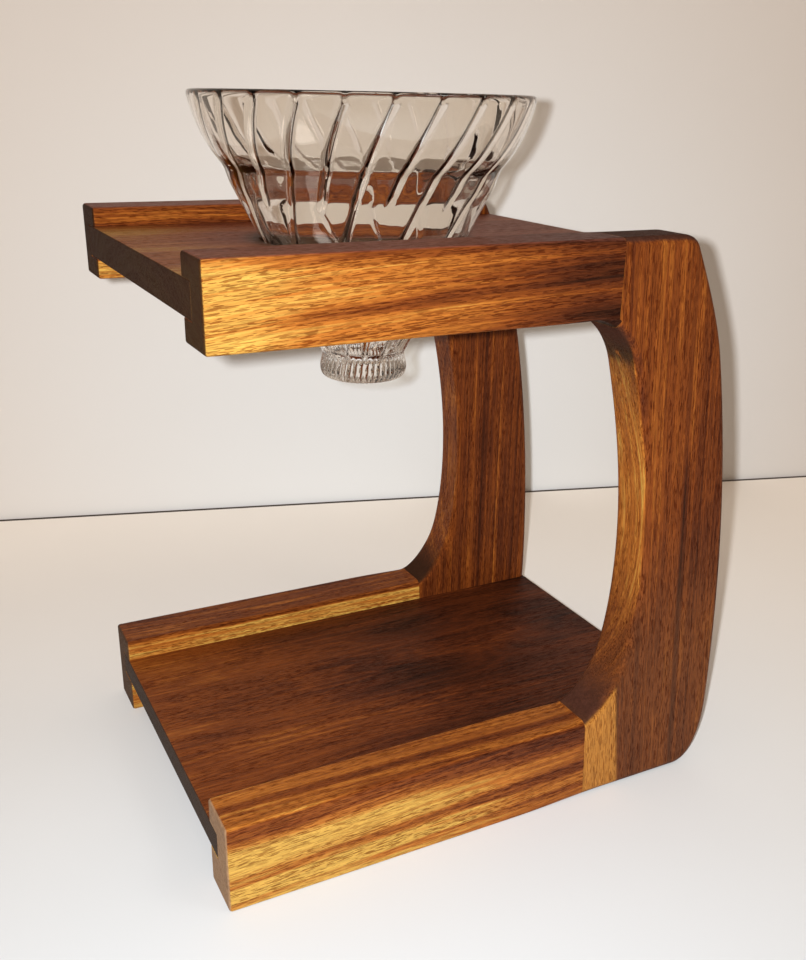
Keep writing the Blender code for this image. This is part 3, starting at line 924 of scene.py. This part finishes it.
def bore_rings(bm):
    """The plain bore, from the neck down to the outlet."""
    start = NECK - NECK_STEP
    drop = start - OUTLET_BOTTOM - OUTLET_EASE
    heights = [start - drop * step / OUTLET_STEPS for step in range(OUTLET_STEPS + 1)]
    return [glass_ring(bm, [OUTLET_BORE] * COLUMNS, height) for height in heights]


def build_glass(material):
    profile = outer_profile()
    bm = bmesh.new()
    rings = outside_rings(bm, profile) + rim_rings(bm) + inside_rings(bm, profile) + bore_rings(bm)
    for ring, following in zip(rings, rings[1:] + rings[:1]):
        join(bm, ring, following)
    bmesh.ops.translate(bm, verts=bm.verts, vec=(CONE_CENTRE.x, CONE_CENTRE.y, 0.0))
    obj = make_object("glass_cone_clear", bm, material, sharp_angle=60.0)
    put_in_place(obj, "glass_cone", "dripper")


def make_glass():
    """Clear pressed glass with faint ripples. Its shadow is a tint, darker where the glass is edge on."""
    g = Graph("clear_glass")
    x, y, z = g.place_in_mm()
    ripple = g.noise(g.vector(g.scale(x, 0.12), g.scale(y, 0.12), g.scale(z, 0.05)), 1.0)
    smear = g.noise(g.vector(g.scale(x, 0.05), g.scale(y, 0.05), g.scale(z, 0.05)), 3.0)
    g.put(g.shader.inputs["Transmission Weight"], 1.0)
    g.put(g.shader.inputs["IOR"], 1.5)
    g.finish((0.965, 0.925, 0.88, 1.0), g.scale(g.smooth(smear, 0.45, 0.8), 0.03), ripple, 0.0001)
    edge_on = g.node("LayerWeight", {"Blend": 0.5}).outputs["Facing"]
    tint = g.mix(g.smooth(edge_on, 0.55, 0.95), (0.95, 0.94, 0.92, 1.0), (0.32, 0.26, 0.20, 1.0))
    clear = g.node("BsdfTransparent", {"Color": tint})
    path = g.node("LightPath", {}).outputs
    passing = g.math("MAXIMUM", path["Is Shadow Ray"], path["Is Diffuse Ray"])
    blend = g.node("MixShader", {0: passing, 1: g.shader.outputs[0], 2: clear.outputs[0]})
    g.put(g.tree.nodes["Material Output"].inputs["Surface"], blend.outputs[0])
    return g.material


# ---------------------------------------------------------------- stage, light and camera

CAMERA_PLACE = (0.34518, -0.17443, 0.25280)
CAMERA_TURN = (68.3542, -1.1695, 62.4097)  # degrees
FLASH_PLACE = (0.3395, -0.1845, 0.2560)


def plane(name, corners, material):
    bm = bmesh.new()
    bm.faces.new([bm.verts.new(corner) for corner in corners])
    mesh = bpy.data.meshes.new(name)
    bm.to_mesh(mesh)
    bm.free()
    mesh.materials.append(material)
    obj = bpy.data.objects.new(name, mesh)
    bpy.context.scene.collection.objects.link(obj)
    obj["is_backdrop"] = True


def matt_surface_with_painted_light(name, near, far, centre, reach):
    """A matt surface with painted light: its colour shifts with the distance from a place on it."""
    g = Graph(name)
    place = g.node("TexCoord", {}).outputs["Object"]
    soft = g.noise(g.node("VectorMath", {0: place, 3: 9.0}, operation="SCALE").outputs[0], 3.0)
    distance = g.node("VectorMath", {0: place, 1: centre}, operation="DISTANCE").outputs["Value"]
    shade = g.mix(g.smooth(distance, *reach), (*near, 1.0), (*far, 1.0))
    shade = g.mix(g.scale(soft, 0.06), shade, (0.3, 0.28, 0.25, 1.0))
    g.finish(shade, 0.75, soft, 0.00002)
    return g


def see_through_back(g):
    """Lets the surface be seen only from its front."""
    back = g.node("NewGeometry", {}).outputs["Backfacing"]
    clear = g.node("BsdfTransparent", {})
    blend = g.node("MixShader", {0: back, 1: g.shader.outputs[0], 2: clear.outputs[0]})
    g.put(g.tree.nodes["Material Output"].inputs["Surface"], blend.outputs[0])


def build_stage():
    """A pale table and, behind it, a pale wall that doesn't hide the object from the other sides. Both carry
    painted light, lighter or darker with the distance from a place, and a dark sheet under the gap between
    them is a painted shadow line.
    """
    foot, run = Vector((-0.2788, 0.0, 0.0)), Vector((0.274, 0.962, 0.0)) * 3.0
    near, far, gap = foot - run, foot + run, Vector((0.0030, 0.0, 0.0))
    wall_top, beneath = Vector((0.0, 0.0, 2.0)), Vector((0.0, 0.0, -0.0006))
    table = matt_surface_with_painted_light(
        "pale_table",
        near=(0.64, 0.665, 0.69),
        far=(0.96, 0.88, 0.79),
        centre=(0.33, -0.17, 0.0),
        reach=(0.15, 0.75),
    )
    wall = matt_surface_with_painted_light(
        "pale_wall",
        near=(0.645, 0.64, 0.63),
        far=(0.59, 0.52, 0.46),
        centre=(-0.28, 0.15, 0.0),
        reach=(0.05, 0.45),
    )
    shadow = matt_surface_with_painted_light(
        "shadow_gap",
        near=(0.07, 0.05, 0.04),
        far=(0.09, 0.06, 0.05),
        centre=(0.0, 0.0, 0.0),
        reach=(0.3, 0.6),
    )
    see_through_back(wall)
    plane("floor", [near + gap, (3.0, -3.0, 0.0), (3.0, 3.0, 0.0), far + gap], table.material)
    plane("wall", [near, far, far + wall_top, near + wall_top], wall.material)
    # A dark sheet under the gap between table and wall, a painted shadow line.
    low_near, low_far = near + beneath, far + beneath
    corners = [low_near - gap * 6, low_near + gap * 3, low_far + gap * 3, low_far - gap * 6]
    plane("gap", corners, shadow.material)


def area_light(name, place, target, size, watts, colour, falloff=None, glare=True):
    """A round light. With a falloff it weakens with distance itself rather than with its square."""
    light = bpy.data.lights.new(name, "AREA")
    light.shape = "DISK"
    light.size = size
    light.energy = watts
    light.color = colour
    if falloff:
        light.use_nodes = True
        tree = light.node_tree
        emission = next(node for node in tree.nodes if node.type == "EMISSION")
        fall = tree.nodes.new("ShaderNodeLightFalloff")
        fall.inputs["Strength"].default_value = falloff
        tree.links.new(fall.outputs["Linear"], emission.inputs["Strength"])
    obj = bpy.data.objects.new(name, light)
    obj.location = place
    obj.visible_glossy = glare
    obj.rotation_euler = (Vector(target) - Vector(place)).to_track_quat("-Z", "Y").to_euler()
    bpy.context.scene.collection.objects.link(obj)


def set_camera():
    data = bpy.data.cameras.new("camera")
    data.sensor_width = 36.0
    data.lens = 38.849
    data.shift_x = -0.020723
    data.shift_y = 0.031698
    data.clip_start = 0.01
    camera = bpy.data.objects.new("camera", data)
    camera.location = CAMERA_PLACE
    camera.rotation_euler = [math.radians(angle) for angle in CAMERA_TURN]
    bpy.context.scene.collection.objects.link(camera)
    bpy.context.scene.camera = camera


def set_world():
    """A room that is warm and soft on the surfaces, brighter through the glass and dim in reflections."""
    world = bpy.data.worlds.new("studio")
    world.use_nodes = True
    bpy.context.scene.world = world
    tree = world.node_tree
    path = tree.nodes.new("ShaderNodeLightPath")
    colour = (0.12, 0.095, 0.080, 1.0)
    for ray, shade in (
        ("Is Diffuse Ray", (0.34, 0.255, 0.18, 1.0)),
        ("Is Transmission Ray", (0.52, 0.44, 0.36, 1.0)),
        ("Is Camera Ray", (0.80, 0.75, 0.70, 1.0)),
    ):
        mix = tree.nodes.new("ShaderNodeMix")
        mix.data_type = "RGBA"
        tree.links.new(path.outputs[ray], mix.inputs[0])
        if isinstance(colour, tuple):
            mix.inputs[6].default_value = colour
        else:
            tree.links.new(colour, mix.inputs[6])
        mix.inputs[7].default_value = shade
        colour = mix.outputs[2]
    tree.links.new(colour, tree.nodes["Background"].inputs["Color"])


def set_lights():
    """A small light beside the camera, as the photo's flash was, and three large soft ones."""
    centre = (0.0, 0.0, 0.11)
    area_light("key", FLASH_PLACE, centre, 0.007, 1.0, (0.93, 0.97, 1.0), falloff=6.2, glare=False)
    area_light("window", (0.64, 0.57, 1.23), centre, 0.45, 1.6, (1.0, 0.98, 0.95))
    area_light("overhead", (-0.1, 0.1, 1.4), centre, 1.2, 0.7, (1.0, 0.96, 0.92))
    area_light("back_fill", (-0.2, 1.3, 0.9), centre, 1.0, 1.5, (1.0, 0.97, 0.94))


def main():
    materials = make_walnut()
    build_side_frames(materials)
    build_boards(materials)
    dress_dowels()
    build_glass(make_glass())
    build_stage()
    set_world()
    set_lights()
    set_camera()
    bpy.context.scene.view_settings.view_transform = "Standard"
    boxes = {"cad": cad_box, "visual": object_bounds()}
    sizes = {name: [list(corner) for corner in corners] for name, corners in boxes.items()}


main()
